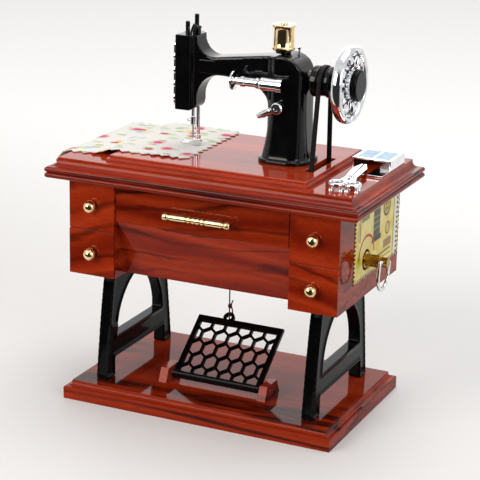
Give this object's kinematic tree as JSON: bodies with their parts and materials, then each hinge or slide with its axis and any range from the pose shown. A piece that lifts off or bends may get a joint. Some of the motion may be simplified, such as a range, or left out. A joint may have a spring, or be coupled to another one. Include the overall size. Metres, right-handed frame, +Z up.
{
  "type": "music box",
  "caption": "Wind-up music box shaped as a miniature treadle sewing machine, with drawer cabinet, hand wheel, belt, rocking treadle, cloth and folding key.",
  "frame": {"origin": "centre of the base's underside, on the surface it stands on", "axes": "+Z up, +X along the table towards the hand wheel and the key, +Y from the drawer fronts to the back"},
  "size_m": [0.1768, 0.0954, 0.2],
  "materials": {
    "red_wood": "glossy moulded plastic with a printed dark wood grain",
    "black": "glossy black moulded plastic",
    "chrome": "polished plating",
    "gold": "polished gold-coloured plating",
    "brass": "plain turned brass",
    "steel": "plain zinc-plated steel",
    "comb_steel": "ground spring steel",
    "belt": "matt black band",
    "cloth": "white cotton with a small printed flower pattern",
    "thread": "twisted maroon thread",
    "label": "printed card, cream and olive",
    "blue_panel": "glossy pale blue inlay"
  },
  "bodies": {
    "stand": {"base_plinth": "red_wood", "base_cover": "black", "base_screws": "steel", "left_leg_frame": "black", "right_leg_frame": "black", "leg_screws": "steel", "left_treadle_bracket": "red_wood", "right_treadle_bracket": "red_wood", "cabinet_body": "red_wood", "cabinet_floor": "red_wood", "middle_drawer_front": "red_wood", "left_upper_drawer_front": "red_wood", "left_lower_drawer_front": "red_wood", "right_upper_drawer_front": "red_wood", "right_lower_drawer_front": "red_wood", "drawer_knobs": "gold", "drawer_handle": "gold", "table_top": "red_wood", "machine_bed": "red_wood", "fabric": "cloth", "side_label": "label", "scissors": "chrome", "sewing_box": "chrome", "sewing_box_panels": "blue_panel", "machine_arm": "black", "arm_bushes": "brass", "face_plate": "chrome", "face_plate_knob": "chrome", "needle_bar_cap": "black", "presser_screw": "black", "presser_bar": "chrome", "presser_foot": "chrome", "tension_post": "chrome", "stitch_lever": "chrome", "spool_pin": "black", "guide_pin": "chrome", "drive_belt": "belt", "movement_frame": "steel", "comb": "comb_steel"},
    "treadle": {"treadle": "black", "treadle_rod": "steel"},
    "cord": {"treadle_cord": "thread"},
    "needle": {"needle_bar": "chrome", "needle_link": "steel", "needle_clamp": "chrome", "needle": "steel"},
    "spool": {"thread_spool": "gold"},
    "wheel": {"arm_shaft": "steel", "crank_disc": "steel", "upper_pulley": "black", "hand_wheel": "chrome", "wheel_cap": "black"},
    "barrel": {"lower_pulley": "black", "spring_barrel": "brass", "mainspring": "steel"},
    "cylinder": {"tune_cylinder": "brass", "cylinder_arbor": "steel"},
    "governor": {"governor": "brass"},
    "stem": {"winding_stem": "brass"},
    "key": {"key_loop": "chrome"}
  },
  "joints": [
    {"name": "barrel_spin", "type": "hinge", "parent": "stand", "child": "barrel", "pos_m": [0.047, -0.0053, 0.087], "axis": [1, 0, 0], "continuous": true},
    {"name": "cylinder_spin", "type": "hinge", "parent": "stand", "child": "cylinder", "pos_m": [0.06, 0.00713, 0.10002], "axis": [1, 0, 0], "continuous": true},
    {"name": "governor_spin", "type": "hinge", "parent": "stand", "child": "governor", "pos_m": [0.06, 0.00713, 0.11202], "axis": [1, 0, 0], "continuous": true},
    {"name": "wheel_spin", "type": "hinge", "parent": "stand", "child": "wheel", "pos_m": [0.06, 0, 0.1727], "axis": [1, 0, 0], "continuous": true},
    {"name": "stem_wind", "type": "hinge", "parent": "stand", "child": "stem", "pos_m": [0.08, -0.0053, 0.087], "axis": [1, 0, 0], "continuous": true},
    {"name": "key_fold", "type": "hinge", "parent": "stem", "child": "key", "pos_m": [0.084, -0.0053, 0.087], "axis": [0, 0.9703, -0.2419], "range_deg": [-90, 25]},
    {"name": "treadle_rock", "type": "hinge", "parent": "stand", "child": "treadle", "pos_m": [0, -0.019, 0.0136], "axis": [1, 0, 0], "range_deg": [-8.5, 8.5]},
    {"name": "cord_hang", "type": "hinge", "parent": "treadle", "child": "cord", "pos_m": [-0.0078, 0.01183, 0.03683], "axis": [1, 0, 0], "range_deg": [-8.5, 8.5]},
    {"name": "needle_stroke", "type": "slide", "parent": "stand", "child": "needle", "axis": [0, 0, 1], "range_m": [-0.002, 0.003]},
    {"name": "spool_spin", "type": "hinge", "parent": "stand", "child": "spool", "pos_m": [0.0244, 0, 0.19], "axis": [0, 0, 1], "continuous": true}
  ],
  "couplings": [
    {"joint": "cylinder_spin", "follows": "barrel_spin", "ratio": -3.5},
    {"joint": "governor_spin", "follows": "barrel_spin", "ratio": 14},
    {"joint": "wheel_spin", "follows": "barrel_spin", "ratio": 1.9548},
    {"joint": "cord_hang", "follows": "treadle_rock", "ratio": -1}
  ]
}
